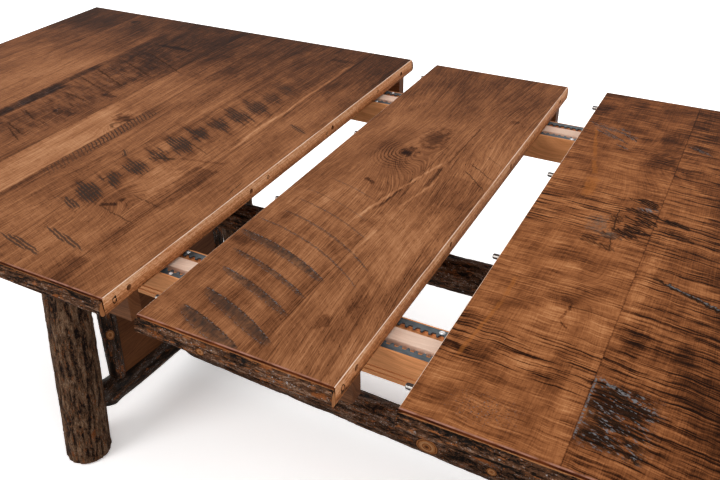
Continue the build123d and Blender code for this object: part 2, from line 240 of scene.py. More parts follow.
class Boards(Finish):
    """Stained planks that run along Y, with their own grain between the seams."""

    def __init__(self, name, seams, seed, tints, knots, straight=1.0, tones=STAIN):
        super().__init__(name, specular_ior_level=0.02)
        self.tones = tones
        picker = random.Random(seed)
        self.jump = self.x * 0 + seed
        self.tone = self.x * 0
        for seam, tint in zip(seams, tints):
            past = self.x.math("GREATER_THAN", seam)
            self.jump = self.jump + past * picker.uniform(3, 9)
            self.tone = self.tone + past * tint
            self.tone = self.tone - (self.x - seam).size().smooth(1.6, 0.3) * 0.16
        self.rough = self.noise(self.x / 9, self.y / 16, self.jump, detail=3, roughness=0.6)
        self.blot = self.noise(self.x / 55, self.y / 130, self.jump, detail=3)
        self.waver_x = self.x + self.rough * 2
        self.waver_y = self.y + self.rough * 2
        self.place = self.vector(self.waver_x, self.waver_y)
        self.figure = self.growth(knots)
        self.tone = self.tone + self.grain() * straight
        self.marks = {}
        self.edge_marks = []

    def edge_knot(self, y, z, reach_y, reach_z):
        """Dark outline of a small knot in a sawn side."""
        dy = self.y.math("MULTIPLY_ADD", 1 / reach_y, -y / reach_y)
        dz = self.z.math("MULTIPLY_ADD", 1 / reach_z, -z / reach_z)
        curl = self.noise(self.y / 5, self.z / 5, y, detail=2)
        ring = ((dy * dy + dz * dz) ** 0.5 - 0.7 + curl * 0.7).size().smooth(0.3, 0.12)
        self.edge_marks.append(ring * (dy.size().most(dz.size())).smooth(1.3, 1.1))

    def growth(self, knots):
        """Distance across the growth rings: lines of equal value are the figure of the wood."""
        sway = self.noise(self.x / 260, self.y / 900, self.jump, detail=1)
        ripple = self.noise(self.x / 60, self.y / 190, self.jump + 5, detail=2)
        figure = self.x + self.z * 0.8 + sway * 60 + ripple * 5
        for x, y, reach_x, reach_y, height in knots:
            dx = self.x.math("MULTIPLY_ADD", 1 / reach_x, -x / reach_x)
            dy = self.y.math("MULTIPLY_ADD", 1 / reach_y, -y / reach_y)
            bump = ((dx * dx + dy * dy) * -1).math("EXPONENT")
            figure = figure + bump * height
        return figure

    def grain(self):
        rings = self.noise(self.figure / 15, self.y / 2500, self.jump, detail=2, roughness=0.55)
        self.streaks = self.noise(self.figure / 4.6, self.y / 480, self.jump + 2, detail=3, roughness=0.65)
        lines = self.noise(self.figure / 1.6, self.y / 260, self.jump + 6, detail=2, roughness=0.6)
        self.fibres = self.noise(self.figure / 1.5, self.y / 32, self.z / 1.5, detail=2, roughness=0.65)
        pores = self.noise(self.figure / 1.4, self.y / 8, self.jump, detail=1).smooth(0.30, 0.42)
        fine = lines * 0.26 + self.fibres * 0.32 - pores * 0.20
        return rings * 0.08 + self.streaks * 0.17 + self.blot * 0.26 + fine

    def spot(self, x, y, reach_x, reach_y, wobble=0.7):
        """1 at a place, falling to 0 over an uneven oval."""
        scaled = self.step("ShaderNodeVectorMath", self.place, (1 / reach_x, 1 / reach_y, 0),
                           (-x / reach_x, -y / reach_y, 0), operation="MULTIPLY_ADD")
        away = self.step("ShaderNodeVectorMath", scaled.outputs[0], operation="LENGTH").outputs["Value"]
        return (Field(self.tree, away) + self.rough * wobble).smooth(1.0, 0.25)

    def zone(self, x0, x1, y0, y1, soft_x, soft_y):
        """1 over a box of the face, with uneven soft edges."""
        across = (self.x + self.rough * soft_x).between(x0, x1, soft_x)
        along = (self.y + self.rough * soft_y).between(y0, y1, soft_y)
        return across * along

    def beside(self, start, end):
        """Share of the way from start to end, and millimetres to the side of that line."""
        (x0, y0), (x1, y1) = start, end
        length = math.hypot(x1 - x0, y1 - y0)
        ux, uy = (x1 - x0) / length, (y1 - y0) / length
        along = self.waver_x * (ux / length) + self.waver_y.math("MULTIPLY_ADD", uy / length,
                                                                 -(x0 * ux + y0 * uy) / length)
        return along, self.waver_x * -uy + self.waver_y.math("MULTIPLY_ADD", ux, x0 * uy - y0 * ux)

    def stroke(self, start, end, width, wobble=0.6):
        """1 on a narrow mark that tapers at its ends."""
        along, aside = self.beside(start, end)
        ends = (along - 0.5).size().smooth(0.5, 0.3)
        return (aside + self.rough * width * wobble).size().smooth(width, width * 0.3) * ends

    def gashes(self, start, end, reach, pitch=6.5, ragged=0.5):
        """1 on thin parallel gashes of uneven length that lie along a line and fill reach beside it."""
        along, aside = self.beside(start, end)
        shaky = aside + self.rough * pitch * 0.18
        row = (shaky / pitch).math("ROUND")
        whim = self.chance(row * 3.7 + start[1]) * ragged
        ends = ((along - 0.5 + whim).size() + (aside / reach).size() ** 3 * 0.3).smooth(0.48, 0.36)
        lines = (shaky / pitch - row).size().smooth(0.46, 0.20)
        return lines * ends * aside.size().smooth(reach, reach * 0.85)

    def arc(self, centre_x, radius, at_x=0.0):
        """Where the round saw's rim stood: the place along the plank at which its arc crosses at_x."""
        aside = self.x - centre_x
        reach = (aside * aside * -1 + radius * radius).most(1) ** 0.5
        return self.y - reach + math.sqrt(radius ** 2 - (at_x - centre_x) ** 2)

    def strokes(self, stage, pitch, run, threshold):
        """Broken thin strokes along the arcs of a round saw."""
        drawn = self.noise(stage / pitch, self.x / run, self.jump + 7, detail=2, roughness=0.6)
        return drawn.smooth(threshold, threshold + 0.24)

    def ruled(self, stage, pitch, wander=2.0):
        """Evenly spaced thin strokes, one for each tooth, picked out by the grain."""
        lines = (stage * (2 * math.pi / pitch) + self.rough * wander).math("SINE").smooth(0.15, 0.8)
        return lines * (self.fibres * 1.2 + self.blot + 0.75).clamped()

    def ribbing(self, slope, pitch):
        """Thin broken lines across the face, slanting by slope."""
        across, along = self.x + self.y * slope, self.y - self.x * slope
        return self.noise(across / pitch, along / 24, 2.0, detail=1).smooth(-0.1, 0.1)

    def darken(self, mask, amount):
        self.tone = self.tone - mask * amount

    def shade_zones(self, *zones):
        """Darkens boxes, given as (x0, x1, y0, y1, soft_x, soft_y, amount)."""
        for *box, amount in zones:
            self.darken(self.zone(*box), amount)

    def shade_spots(self, *spots):
        """Darkens ovals, given as (amount, x, y, reach_x, reach_y) and perhaps their wobble."""
        for amount, *oval in spots:
            self.darken(self.spot(*oval), amount)

    def shade_strokes(self, *strokes):
        """Darkens strokes, given as (amount, start, end, width) and perhaps their wobble."""
        for amount, *stroke in strokes:
            self.darken(self.stroke(*stroke), amount)

    def stain(self, mask, colour, share=1.0):
        """Marks of one colour are gathered into one mask."""
        mask = mask * share
        self.marks[colour] = self.marks[colour].most(mask) if colour in self.marks else mask

    def draw(self, colour, *strokes):
        """Stains strokes, given as (share, start, end, width) and perhaps their wobble."""
        for share, *stroke in strokes:
            self.stain(self.stroke(*stroke), colour, share)

    def face(self, edges, lips, arris_highlights):
        """Finishes the material, given masks of its sawn sides, redder ends, and the arris where a highlight
        is painted.
        """
        colour = self.ramp(self.tone + 0.56, self.tones)
        torn = self.x * 0
        for mark, mask in self.marks.items():
            share = (mask * (self.fibres * 0.3 + 0.95)).clamped()
            colour = self.blend(colour, mark, share)
            # painted glints leave the relief and roughness alone
            if mark != PAINTED_GLINT:
                torn = torn.most(mask)
        height = self.fibres * 0.10 + torn * (self.rough * 0.5 - 0.4)
        roughness = self.fibres * 0.10 + torn * 0.2 + 0.5
        scrape = self.noise(self.y / 6, self.z / 2.5, self.jump, detail=3, roughness=0.65)
        layers = self.noise(self.z / 3, self.y / 90, self.jump, detail=3, roughness=0.6)
        slanting = self.noise((self.y + self.z * 0.8) / 7, self.z / 26, self.jump, detail=2)
        # painted shade: the sawn sides darken towards their lower edge; the rest is grain and scrapes
        lit = self.z.smooth(713, 738) * 0.40 + layers * 0.45 + scrape * 0.40 + slanting * 0.14
        tan = self.ramp(lit + 0.30, [(0.05, (0.05, 0.018, 0.008)), (0.38, (0.36, 0.135, 0.050)),
                                     (0.62, (0.62, 0.270, 0.115)), (0.85, (0.84, 0.49, 0.28))])
        colour = self.blend(colour, tan, edges)
        # painted highlight: the red lips lighten towards their lower edge
        redness = self.blot * 0.9 + scrape * 0.4 + self.z.smooth(744, 738) * 0.16 + 0.22
        red = self.ramp(redness, [(0.2, (0.045, 0.010, 0.004)), (0.55, (0.13, 0.032, 0.009)),
                                  (0.9, (0.36, 0.11, 0.03))])
        colour = self.blend(colour, red, lips)
        # painted highlight: a near-white line along the sides' top arris, broken by noise
        patchy = self.noise(self.y / 60, self.z, self.jump, detail=2).smooth(-0.5, 0.0)
        colour = self.blend(colour, (0.98, 0.74, 0.58), arris_highlights * patchy)
        # painted highlight: a pale line along the top arris above the lips, broken by noise
        rim_highlight_noise = self.noise(self.x / 26, self.y / 200, self.jump, detail=3).smooth(-0.4, 0.2)
        colour = self.blend(colour, (0.36, 0.17, 0.12), self.rim_highlights * rim_highlight_noise)
        for mask in self.edge_marks:
            colour = self.blend(colour, CRACK, mask)
        return self.finish(colour, roughness, height)

    def sides(self, planes, shift_y, top):
        """Masks of the sides that face along X, the lips above the bark, and the sides' top arris, which gets
        a painted highlight.
        """
        edges, arris_highlights = self.x * 0, self.x * 0
        for plane_x, side in planes:
            inwards = (self.x - plane_x) * -side
            edges = edges.most(inwards.smooth(1.0, 0.4))
            corner = inwards.smooth(1.2, 0.8) * self.z.smooth(top - 1.2, top - 0.9)
            arris_highlights = arris_highlights.most(corner)
        low, high = shift_y - HALF_WIDTH, shift_y + HALF_WIDTH
        # the top arris above the lips, where a highlight is painted
        rim = (self.y - low).smooth(2.4, 1.6).most((self.y - high).smooth(-2.4, -1.6))
        self.rim_highlights = rim * self.z.smooth(top - 1.3, top - 0.7)
        lips = (self.y - low).smooth(0.7, 0.3).most((self.y - high).smooth(-0.7, -0.3))
        lips = lips * self.z.smooth(top - 0.4, top - 0.9)
        return edges, lips, arris_highlights


def left_half_finish():
    seams = [-1131.5, -951.5, -741.5, -640.5, -535.5, -350.5]
    tints = [0.03, -0.07, 0.09, -0.04, 0.02, -0.01]
    knots = [(-655, -81, 22, 34, 44), (-424, -318, 30, 44, 30), (-1102, 493, 14, 20, 24),
             (-860, 60, 60, 260, -36)]
    wood = Boards("left_planks_stained", seams, 11, tints, knots)
    wood.darken(wood.y.smooth(100, 500), 0.30)
    wood.darken(wood.x.smooth(-1150, -1313), 0.06)
    wood.shade_zones((-736, -646, -600, -10, 12, 40, -0.20), (-1120, -960, -400, 200, 30, 80, -0.09))
    wood.shade_spots((-0.20, -415, -232, 56, 80), (-0.08, -560, -440, 60, 70), (0.10, -780, 300, 240, 190))
    # plank that the planer hardly touched: dark, with long arcs of the saw and flecks of painted glint
    wide_saw = wood.arc(-1339, 1500, -830)
    rough_zone = wood.zone(-940, -775, -215, 320, 22, 40)
    wood.darken(rough_zone, 0.10)
    wood.darken(rough_zone * wood.noise(wide_saw / 14, wood.x / 60, 6.0, detail=3), 0.30)
    wood.stain(rough_zone * wood.strokes(wide_saw, 4.0, 70, 0.20), SAW_DARK, 0.7)
    wood.stain(rough_zone * wood.strokes(wide_saw + 60, 2.6, 9, 0.30), PAINTED_GLINT, 0.8)
    long_arcs = (((-900, 312), (-700, 216), 3.4), ((-944, 162), (-768, 86), 4.0),
                 ((-920, 236), (-760, 168), 3.0), ((-905, -104), (-828, -142), 2.8),
                 ((-890, -168), (-790, -208), 2.8), ((-866, -186), (-776, -232), 2.6),
                 ((-930, 96), (-790, 50), 3.0), ((-900, 10), (-800, -10), 3.0))
    wood.draw(SAW_DARK, *[(0.75, *arc, 1.4) for arc in long_arcs])
    wood.shade_zones((-950, -916, -170, 34, 4, 20, 0.30), (-951, -932, 20, 176, 4, 20, 0.24))
    # painted glints on the rough plank beside the seam
    wood.stain(wood.zone(-948, -920, -170, 30, 5, 20) * wood.fibres.smooth(0.15, 0.4), PAINTED_GLINT, 0.3)
    wood.shade_spots((0.24, -782, 38, 34, 12), (0.24, -812, -82, 42, 18), (0.24, -855, 366, 80, 13))
    # bursts of strokes, one at each bite of the saw
    saw = wood.arc(-1087, 1500, -480)
    bite, pitch = 61, 7.4
    count = (saw + 332) / bite + 0.5
    off_burst = (count.math("FRACT") - 0.5).size()
    shaky = saw + wood.rough * 2.6
    row = (shaky / pitch).math("ROUND")
    whim = wood.chance(row * 3.7)
    width = wood.chance(count.math("FLOOR") * 5.3 + 0.4)
    aside = (wood.x - wood.y * 0.12 + 455 + whim * 30).size() - width * 22 + off_burst * 60 - 44
    strength = wood.y.smooth(420, 0) * wood.y.smooth(-385, -330)
    fanned = aside.smooth(4, -10) * off_burst.smooth(0.44, 0.34) * strength
    taper = (aside.most(-26) + 26) * 0.011
    drawn = ((shaky / pitch - row).size() + taper).smooth(0.46, 0.24)
    wood.stain(fanned * drawn * (wood.rough * 1.2 + 0.9), SAW_GREY, 1.0)
    wood.darken(aside.smooth(30, -30) * off_burst.smooth(0.62, 0.15) * strength, 0.24)
    wood.darken(wood.noise(saw / 2.6, wood.x / 50, 5.0, detail=3, roughness=0.7), 0.18)
    for start, end, reach in (((-522, -494), (-412, -520), 9), ((-466, -444), (-372, -478), 9),
                              ((-524, -356), (-470, -380), 9), ((-446, 264), (-404, 244), 8),
                              ((-318, 92), (-258, 62), 7), ((-556, -162), (-530, -184), 6)):
        wood.stain(wood.gashes(start, end, reach), SAW_GREY, 0.85)
    wood.draw(SAW_DARK, (0.6, (-470, -70), (-380, -108), 2.2, 1.6),
              (0.6, (-456, -350), (-334, -376), 2.2, 1.6), (0.6, (-420, -296), (-330, -312), 2.2, 1.6),
              (0.75, (-478, -166), (-428, -146), 6, 1.2))
    wood.shade_strokes((0.12, (-440, -146), (-326, -122), 6))
    # ticks beside the strong seam
    steep_saw = wood.arc(-1450, 1500, -625)
    ticks = wood.ruled(steep_saw, 10.0, 3.0) * wood.zone(-640, -610, -310, 10, 3, 10)
    wood.stain(ticks * (wood.y.smooth(-330, -150) * 0.5 + 0.5), SAW_GREY, 0.95)
    wood.shade_zones((-640, -606, -310, 40, 4, 20, 0.08), (-640, -628, -470, -240, 4, 20, 0.16),
                     (-650, -642, -560, -60, 2, 20, -0.12))
    wood.shade_spots((0.46, -662, -45, 34, 26), (0.16, -690, -10, 22, 50))
    curl = ((wood.x + 650) * (wood.x + 650) + (wood.y + 78) * (wood.y + 78)) ** 0.5 + wood.rough * 5
    wood.stain((curl - 12).size().smooth(4.5, 2) * (wood.x + 648).smooth(6, -6), CRACK, 0.55)
    wood.shade_zones((-377, -325, -316, -156, 2, 4, 0.13), (-376, -327, -470, -316, 4, 6, 0.05),
                     (-374, -328, -572, -490, 4, 8, 0.19))
    wood.shade_spots((0.28, -418, -319, 9, 10, 0.4))
    wood.shade_strokes((0.24, (-446, -352), (-412, -334), 8))
    wood.shade_spots((0.22, -1102, 493, 13, 14, 0.4), (0.14, -400, 470, 46, 14))
    wood.draw(SAW_DARK, (0.8, (-260, -164), (-257, -222), 1.8))
    pale = (wood.x + wood.blot * 12 + 361).size().smooth(6, 1.0) * wood.y.between(-60, 470, 40)
    wood.darken(pale, -0.26)
    for knot in ((-536, 727, 5, 7), (366, 730, 4, 4), (-108, 731, 4, 4), (120, 726, 4, 3)):
        wood.edge_knot(*knot)
    return wood.face(*wood.sides([(LEFT_INNER, 1)], 0, TOP))


def leaf_finish():
    knots = [(-36, 84, 48, 92, 58), (66, 190, 40, 240, 18), (20, -150, 34, 130, -16)]
    wood = Boards("leaf_planks_stained", [27], 4, [0.03], knots)
    wood.darken(wood.y.smooth(200, 520), 0.16)
    wood.shade_spots((-0.10, -50, -170, 130, 130), (-0.08, 90, -210, 90, 130))
    # the knot, its rings, and the grain that flows round it
    wood.shade_spots((0.30, -34, 88, 24, 30, 0.8), (0.26, -38, 80, 16, 15, 0.5))
    across, along = wood.x + 38 + wood.rough * 5, (wood.y - 82) * 0.8 + wood.blot * 14
    radius = (across * across + along * along) ** 0.5
    growth_rings = (radius * (2 * math.pi / 6.6) + wood.rough * 2).math("SINE").smooth(0.0, 0.9)
    wood.darken(growth_rings * radius.smooth(80, 26) * radius.smooth(8, 16)
                * (across * 0.016 + along * 0.02).smooth(0.35, -0.75), 0.30)
    wood.shade_spots((0.22, -12, 165, 34, 74, 1.2), (-0.05, -100, 250, 60, 120))
    flow = ((-0.24, (46, 74), (28, 8), 4), (-0.32, (30, 14), (10, -66), 4.5),
            (-0.26, (11, -56), (-16, -200), 5), (-0.20, (62, 0), (37, -130), 3.4),
            (-0.14, (38, -110), (32, -330), 3.0), (0.22, (57, 280), (54, 50), 3.2),
            (0.30, (51, 66), (52, -40), 6.5), (0.24, (20, 0), (7, -140), 3.5),
            (0.14, (40, 230), (44, 70), 2.4), (0.10, (64, 120), (70, -60), 2.4),
            (-0.12, (70, 260), (74, 100), 2.4))
    wood.shade_strokes(*[(*line, 0.5) for line in flow], (0.28, (-66, -44), (-38, -62), 7, 1.5))
    wood.shade_zones((80, 158, -78, 30, 10, 6, 0.10))
    wood.shade_spots((0.18, 110, 311, 16, 12, 1.0))
    # arched bands where the saw dug in: where each crosses x = -100, its thickness, and its ends
    saw = wood.arc(-210, 450, -100)
    bands = [(-80, 1.6, -122, -16, 0.4), (-139, 1.6, -140, 10, 0.3), (-176, 2.4, -138, 38, 0.45),
             (-222, 4.0, -142, 84, 0.55), (-267, 3.0, -174, 88, 0.6), (-311, 18, -172, 34, 1.0),
             (-364, 10, -150, 28, 0.8), (-411, 15, -134, 26, 0.9), (-466, 24, -124, 40, 1.0),
             (-516, 27, -130, 6, 1.0)]
    dots = wood.noise(wood.x / 5.5, wood.y / 3.2, 3.0, detail=2).smooth(-0.12, 0.10)
    flecks = wood.noise(wood.x / 3.2, wood.y / 2.6, 8.0, detail=1).smooth(0.16, 0.28)
    for y, thickness, start, end, share in bands:
        below = (saw - y + wood.rough * 1.6) * -1
        middle, half = (start + end) / 2, (end - start) / 2
        lens = (1 - ((wood.x - middle) / half) ** 2).most(0) ** 0.5
        under = below - lens * thickness
        span = lens.smooth(0.10, 0.6)
        smoke = below.smooth(-1.6, 1.2) * under.smooth(thickness * 0.4 + 1, -thickness * 0.5)
        wood.stain(smoke * span * (wood.rough * 0.9 + 0.9), SAW_GREY, 0.84 * share)
        rim = (below - 1.0).size().smooth(2.8, 1.2).most(under.size().smooth(2.4, 0.8) * 0.7) * span
        wood.stain(rim * dots, CRACK, 0.6 * share)
        # painted glints along the rims of the saw bands
        wood.stain(rim * flecks, PAINTED_GLINT, 0.9 * share)
    wood.darken(wood.noise(saw / 2.5, wood.x / 40, 5.0, detail=3, roughness=0.7), 0.13)
    wood.darken(wood.noise(saw / 26, wood.x / 60, 6.0, detail=2) * wood.y.smooth(-20, -160), 0.14)
    wood.shade_spots((0.16, -150, -330, 26, 22), (0.14, -128, -230, 20, 16))
    wood.draw(SAW_DARK, (0.8, (88, 97), (158, 44), 1.7, 1.0), (0.8, (88, 68), (158, -2), 1.7, 1.0),
              (0.4, (106, 142), (158, 98), 1.7, 1.0))
    wood.darken(wood.zone(128, 165, -385, -225, 8, 20) * (wood.streaks + 0.3), 0.5)
    wood.shade_spots((0.22, 78, -455, 15, 26, 0.8), (0.12, 104, -396, 14, 40, 0.8))
    for knot in ((-541, 724, 6, 8), (300, 729, 4, 3)):
        wood.edge_knot(*knot)
    return wood.face(*wood.sides([(LEAF_RIGHT, 1), (LEAF_LEFT, -1)], LEAF_SHIFT, LEAF_TOP))


def right_half_finish():
    seams, tints = [448.5, 748.5, 1010.5], [0.02, -0.07, 0.05]
    knots = [(384, -218, 26, 34, 36), (420, 235, 50, 70, 40), (620, 0, 80, 300, 50),
             (900, 100, 70, 400, -40)]
    wood = Boards("right_planks_stained", seams, 23, tints, knots, 0.46, REDDER_STAIN)
    sag = wood.arc(280, 2600, 340) + wood.blot * 7
    chatter = wood.noise(sag / 3.5, wood.x / 100, wood.jump, detail=2, roughness=0.7)
    ribs = wood.noise(wood.x / 1.7, wood.y / 5, wood.jump + 4, detail=1, roughness=0.6)
    feathered = wood.noise(wood.x / 46 + chatter * 0.4, wood.y / 38 + chatter * 0.10, wood.jump + 9,
                           detail=3, roughness=0.6)
    strong = wood.y.between(-56, 100, 24).most(wood.y.between(-440, -345, 20))
    strong = strong.most(wood.x.smooth(440, 470) * 0.6)
    wood.darken(chatter.smooth(0.02, 0.26) * (strong * 0.34 + 0.16), 1.0)
    wood.darken(chatter.smooth(-0.08, -0.28), -0.18)
    wood.darken(ribs, 0.06)
    wood.darken(feathered, 0.42)
    wood.darken(wood.y.smooth(80, 560), 0.20)
    wood.darken(wood.x.between(540, 720, 75), 0.24)
    wood.darken(wood.x.smooth(450, 446), -0.05)
    # torn patches, with painted glints along their strokes and broken edges
    front_torn = wood.zone(452, 530, -514, -398, 14, 7) * (wood.x - 448.6).smooth(-0.3, 0.3)
    streaked = wood.arc(300, 700, 490)
    broken = wood.noise(wood.x / 5, wood.y / 3.4, 4.0, detail=2).smooth(-0.12, 0.08)
    wood.darken(front_torn, 0.20)
    wood.stain(front_torn * wood.strokes(streaked, 3.6, 26, -0.14), CRACK, 0.9)
    wood.stain(front_torn * wood.x.smooth(478, 454) * wood.strokes(streaked + 5, 8, 40, -0.24), CRACK, 0.9)
    wood.stain(front_torn * wood.strokes(streaked + 13, 3.0, 9, 0.14), PAINTED_GLINT, 1.0)
    wood.stain(wood.stroke((444, -388), (540, -430), 3.4, 1.6) * broken, PAINTED_GLINT, 1.0)
    wood.draw(CRACK, (0.9, (450, -402), (545, -434), 3.0, 1.6), (0.95, (447, -492), (500, -498), 6.0, 1.2),
              (0.9, (490, -500), (534, -516), 3.4, 1.4))
    torn_side = (wood.x - 450.6).size().smooth(2.0, 0.8) * wood.y.between(-504, -392, 3)
    # painted glints along the torn side
    wood.stain(torn_side * broken, PAINTED_GLINT, 0.9)
    wood.draw(CRACK, (0.95, (462, -132), (600, -188), 6.4, 1.4), (0.95, (496, -150), (640, -206), 3.6, 1.4))
    wood.stain(wood.stroke((486, -140), (590, -182), 2.6, 2.0) * broken, PAINTED_GLINT, 0.8)
    gashes = (((404, 97), (446, 74), 9, 1.0), ((398, 60), (444, 38), 12, 0.9),
              ((412, 32), (446, 12), 12, 0.9), ((400, 2), (434, -16), 9, 0.9),
              ((392, -18), (426, -40), 9, 0.9), ((372, -36), (402, -54), 8, 0.7),
              ((346, -62), (376, -84), 9, 0.5), ((458, 46), (506, 24), 6, 1.0),
              ((470, 8), (520, -12), 7, 0.6), ((380, 22), (396, -4), 8, 0.6),
              ((376, -74), (402, -94), 7, 0.6))
    for start, end, reach, share in gashes:
        wood.stain(wood.gashes(start, end, reach * 1.3, 5.2, 0.6), CRACK, share)
        wood.darken(wood.gashes(start, end, reach * 1.6, 11, 0.4), 0.26 * share)
    # painted glints in the ribbing beside the gashes
    wood.stain(wood.spot(428, 64, 20, 9, 0.9) * wood.ribbing(0.62, 3.0), PAINTED_GLINT, 0.9)
    # painted sheen on two patches near the gashes
    for oval in ((362, -18, 22, 40), (388, -44, 20, 16)):
        wood.stain(wood.spot(*oval, 1.3) * (broken * 0.6 + 0.4), PAINTED_SHEEN, 0.5)
    wood.draw(CRACK, (0.8, (384, 56), (390, -40), 1.5, 2.4), (0.8, (388, -30), (399, -98), 1.5, 2.4))
    far_gashes = (((272, 378), (334, 350), 9), ((290, 346), (350, 306), 9), ((318, 374), (340, 366), 5),
                  ((336, 352), (352, 330), 8), ((468, 346), (504, 324), 6), ((330, 300), (346, 284), 5))
    for start, end, reach in far_gashes:
        wood.stain(wood.gashes(start, end, reach, 4.4, 1.0), CRACK, 0.85)
        # painted glints in the far gashes
        wood.stain(wood.gashes(start, end, reach, 3.0, 1.2) * broken, PAINTED_GLINT, 0.6)
    scattered = wood.zone(306, 376, -534, -492, 30, 18)
    dark_dots = wood.noise(wood.x / 4, wood.y / 2.4, 2.0, detail=1).smooth(0.18, 0.32)
    wood.stain(scattered * dark_dots, CRACK, 0.6)
    # painted glints among the dark dots
    bright_dots = wood.noise(wood.x / 3, wood.y / 2.0, 7.0, detail=1).smooth(0.28, 0.40)
    wood.stain(scattered * bright_dots, PAINTED_GLINT, 0.8)
    wood.darken(wood.spot(386, -218, 12, 20, 0.3) - wood.spot(386, -218, 8, 14, 0.3), 0.16)
    wood.shade_strokes((0.24, (384, -252), (376, -300), 3, 2.0), (0.26, (376, -298), (390, -316), 2.4, 1.6))
    wood.shade_spots(
        (0.20, 415, 250, 44, 70), (0.14, 420, 360, 36, 50), (0.16, 478, -300, 22, 70),
        (0.16, 545, -320, 26, 60), (0.12, 300, -424, 60, 30), (0.08, 410, -424, 44, 26),
        (0.08, 280, 460, 70, 40), (0.12, 420, 130, 30, 50), (0.08, 300, 110, 50, 30),
        (0.10, 300, -240, 46, 24), (-0.12, 360, -178, 22, 60),
        (-0.12, 366, -290, 44, 46), (-0.10, 428, -290, 22, 60), (-0.10, 430, -440, 20, 66),
        (-0.20, 463, -170, 15, 130), (-0.05, 330, 20, 60, 60), (-0.06, 300, -330, 40, 26))
    sap = (((268, 372), (302, 210), 5), ((300, 216), (318, 150), 7), ((288, -222), (290, -286), 5),
           ((291, -276), (273, -450), 4), ((318, 150), (322, 60), 14))
    wood.draw(SAP, *[(0.42, *streak, 0.8) for streak in sap])
    return wood.face(*wood.sides([(RIGHT_INNER, -1)], 0, TOP))


# ---------------- plainer woods, steel and nylon


def plain_wood(name, light, dark, along, seed, contrast=1.0, roughness=0.5):
    """Straight-grained wood. along is the axis, 0 to 2, that its grain follows."""
    wood = Finish(name, specular_ior_level=0.08)
    places = [wood.x, wood.y, wood.z]
    run = places.pop(along)
    one, two = places
    sway = wood.noise(one / 90 + seed, run / 260, two / 90, detail=2)
    figure = one + two * 0.7 + sway * 26
    rings = wood.noise(figure / 4.2, run / 900, seed, detail=3, roughness=0.6)
    fibres = wood.noise(one / 0.6, run / 22, two / 0.6, detail=2)
    tone = (rings * 0.9 + fibres * 0.7 + sway * 0.5) * contrast + 0.5
    colour = wood.blend(light, dark, tone.clamped())
    return wood.finish(colour, fibres * 0.12 + roughness, fibres * 0.05 + rings * 0.04)


def steel(name, dark, light, roughness, scratch_axis=0, metallic=0.85):
    metal = Finish(name, metallic=metallic)
    places = [metal.x, metal.y, metal.z]
    run = places.pop(scratch_axis)
    one, two = places
    scratches = metal.noise(one / 0.25, run / 14, two / 0.25, detail=2)
    stains = metal.noise(one / 7, run / 16, two / 7, detail=3)
    tone = (scratches * 0.35 + stains * 0.8 + 0.5).clamped()
    colour = metal.blend(dark, light, tone)
    return metal.finish(colour, stains * 0.15 + roughness, scratches * 0.02)


def pin_finish():
    """Dark pins with a painted highlight along their tops."""
    metal = Finish("pin_steel_satin", metallic=0.5, specular_ior_level=0.2)
    stains = metal.noise(metal.x / 4, metal.y / 4, metal.z / 4, detail=3)
    top_highlight = (metal.z + stains * 0.8).between(729.8, 732.4, 0.7)
    colour = metal.blend((0.035, 0.022, 0.018), (0.52, 0.49, 0.46), top_highlight)
    return metal.finish(colour, stains * 0.1 + 0.35, stains * 0.02)


def nylon(name, colour):
    pad = Finish(name)
    grain = pad.noise(pad.x / 0.8, pad.y / 0.8, pad.z / 0.8, detail=3)
    scuffs = pad.noise(pad.x / 6, pad.y / 6, pad.z / 2, detail=2)
    shade = pad.blend(colour, [c * 2.2 for c in colour], scuffs.smooth(0, 0.6))
    return pad.finish(shade, grain * 0.1 + 0.55, grain * 0.05)


# ---------------- bark


